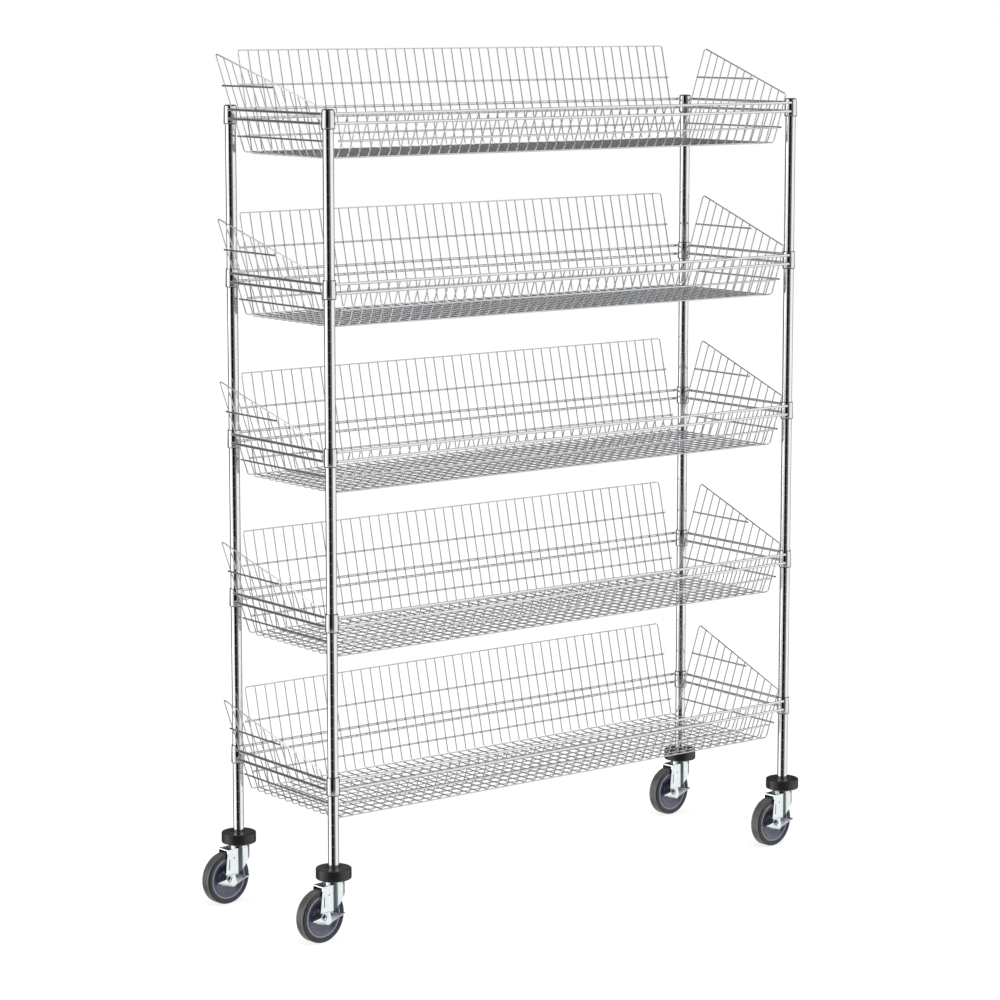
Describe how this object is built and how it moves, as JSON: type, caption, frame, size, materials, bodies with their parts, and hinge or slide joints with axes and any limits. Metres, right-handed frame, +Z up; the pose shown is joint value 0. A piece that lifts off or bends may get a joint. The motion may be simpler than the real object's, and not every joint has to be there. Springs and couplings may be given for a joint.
{
  "type": "wire shelf cart",
  "caption": "Tall chrome wire cart with sloped-wall basket shelves on round grooved posts, rolling on swivel casters with bumpers and foot brakes.",
  "frame": {"origin": "centre of the post rectangle, on the floor under the tyres", "axes": "+X to the right along the front, +Y to the back, +Z up"},
  "size_m": [1.5537, 0.486, 2.0345],
  "materials": {
    "post_chrome": "bright polished chrome plating",
    "rail_chrome": "bright chrome plating",
    "wire_chrome": "bright chrome plating",
    "cap_plastic": "satin black moulded plastic",
    "sleeve_plastic": "satin black moulded plastic",
    "insert_steel": "turned steel",
    "stem_zinc": "blue-white zinc plating",
    "fork_zinc": "blue-white zinc plating",
    "axle_zinc": "blue-white zinc plating",
    "brake_zinc": "blue-white zinc plating",
    "bumper_rubber": "satin black rubber",
    "tyre_rubber": "dark grey rubber, lightly polished tread",
    "wheel_plastic": "slate blue moulded nylon"
  },
  "bodies": {
    "cart_frame": {"caster_back_left_bumper": "bumper_rubber", "caster_back_left_stem": "stem_zinc", "caster_back_right_bumper": "bumper_rubber", "caster_back_right_stem": "stem_zinc", "caster_front_left_bumper": "bumper_rubber", "caster_front_left_stem": "stem_zinc", "caster_front_right_bumper": "bumper_rubber", "caster_front_right_stem": "stem_zinc", "post_back_left": "post_chrome", "post_back_right": "post_chrome", "post_caps": "cap_plastic", "post_front_left": "post_chrome", "post_front_right": "post_chrome", "post_inserts": "insert_steel", "post_sleeves": "sleeve_plastic", "shelf_1_back_wall": "wire_chrome", "shelf_1_floor": "wire_chrome", "shelf_1_frame": "rail_chrome", "shelf_1_front_wall": "wire_chrome", "shelf_1_side_walls": "wire_chrome", "shelf_2_back_wall": "wire_chrome", "shelf_2_floor": "wire_chrome", "shelf_2_frame": "rail_chrome", "shelf_2_front_wall": "wire_chrome", "shelf_2_side_walls": "wire_chrome", "shelf_3_back_wall": "wire_chrome", "shelf_3_floor": "wire_chrome", "shelf_3_frame": "rail_chrome", "shelf_3_front_wall": "wire_chrome", "shelf_3_side_walls": "wire_chrome", "shelf_4_back_wall": "wire_chrome", "shelf_4_floor": "wire_chrome", "shelf_4_frame": "rail_chrome", "shelf_4_front_wall": "wire_chrome", "shelf_4_side_walls": "wire_chrome", "shelf_5_back_wall": "wire_chrome", "shelf_5_floor": "wire_chrome", "shelf_5_frame": "rail_chrome", "shelf_5_front_wall": "wire_chrome", "shelf_5_side_walls": "wire_chrome"},
    "front_left_swivel": {"caster_front_left_fork": "fork_zinc", "caster_front_left_axle": "axle_zinc"},
    "front_left_rolling": {"caster_front_left_wheel": "wheel_plastic", "caster_front_left_tyre": "tyre_rubber"},
    "front_left_lever": {"caster_front_left_brake": "brake_zinc"},
    "front_right_swivel": {"caster_front_right_fork": "fork_zinc", "caster_front_right_axle": "axle_zinc"},
    "front_right_rolling": {"caster_front_right_wheel": "wheel_plastic", "caster_front_right_tyre": "tyre_rubber"},
    "front_right_lever": {"caster_front_right_brake": "brake_zinc"},
    "back_left_swivel": {"caster_back_left_fork": "fork_zinc", "caster_back_left_axle": "axle_zinc"},
    "back_left_rolling": {"caster_back_left_wheel": "wheel_plastic", "caster_back_left_tyre": "tyre_rubber"},
    "back_left_lever": {"caster_back_left_brake": "brake_zinc"},
    "back_right_swivel": {"caster_back_right_fork": "fork_zinc", "caster_back_right_axle": "axle_zinc"},
    "back_right_rolling": {"caster_back_right_wheel": "wheel_plastic", "caster_back_right_tyre": "tyre_rubber"},
    "back_right_lever": {"caster_back_right_brake": "brake_zinc"}
  },
  "joints": [
    {"name": "front_left_swivel_turn", "type": "hinge", "parent": "cart_frame", "child": "front_left_swivel", "pos_m": [-0.699, -0.2015, 0.1355], "axis": [0, 0, 1], "continuous": true},
    {"name": "front_left_wheel_spin", "type": "hinge", "parent": "front_left_swivel", "child": "front_left_rolling", "pos_m": [-0.74077, -0.20589, 0.0625], "axis": [-0.1045, 0.9945, 0], "continuous": true},
    {"name": "front_left_brake_press", "type": "hinge", "parent": "front_left_swivel", "child": "front_left_lever", "pos_m": [-0.74077, -0.20589, 0.0625], "axis": [-0.1045, 0.9945, 0], "range_deg": [0, 20]},
    {"name": "front_right_swivel_turn", "type": "hinge", "parent": "cart_frame", "child": "front_right_swivel", "pos_m": [0.699, -0.2015, 0.1355], "axis": [0, 0, 1], "continuous": true},
    {"name": "front_right_wheel_spin", "type": "hinge", "parent": "front_right_swivel", "child": "front_right_rolling", "pos_m": [0.65723, -0.20589, 0.0625], "axis": [-0.1045, 0.9945, 0], "continuous": true},
    {"name": "front_right_brake_press", "type": "hinge", "parent": "front_right_swivel", "child": "front_right_lever", "pos_m": [0.65723, -0.20589, 0.0625], "axis": [-0.1045, 0.9945, 0], "range_deg": [0, 20]},
    {"name": "back_left_swivel_turn", "type": "hinge", "parent": "cart_frame", "child": "back_left_swivel", "pos_m": [-0.699, 0.2015, 0.1355], "axis": [0, 0, 1], "continuous": true},
    {"name": "back_left_wheel_spin", "type": "hinge", "parent": "back_left_swivel", "child": "back_left_rolling", "pos_m": [-0.74077, 0.19711, 0.0625], "axis": [-0.1045, 0.9945, 0], "continuous": true},
    {"name": "back_left_brake_press", "type": "hinge", "parent": "back_left_swivel", "child": "back_left_lever", "pos_m": [-0.74077, 0.19711, 0.0625], "axis": [-0.1045, 0.9945, 0], "range_deg": [0, 20]},
    {"name": "back_right_swivel_turn", "type": "hinge", "parent": "cart_frame", "child": "back_right_swivel", "pos_m": [0.699, 0.2015, 0.1355], "axis": [0, 0, 1], "continuous": true},
    {"name": "back_right_wheel_spin", "type": "hinge", "parent": "back_right_swivel", "child": "back_right_rolling", "pos_m": [0.65723, 0.19711, 0.0625], "axis": [-0.1045, 0.9945, 0], "continuous": true},
    {"name": "back_right_brake_press", "type": "hinge", "parent": "back_right_swivel", "child": "back_right_lever", "pos_m": [0.65723, 0.19711, 0.0625], "axis": [-0.1045, 0.9945, 0], "range_deg": [0, 20]}
  ]
}
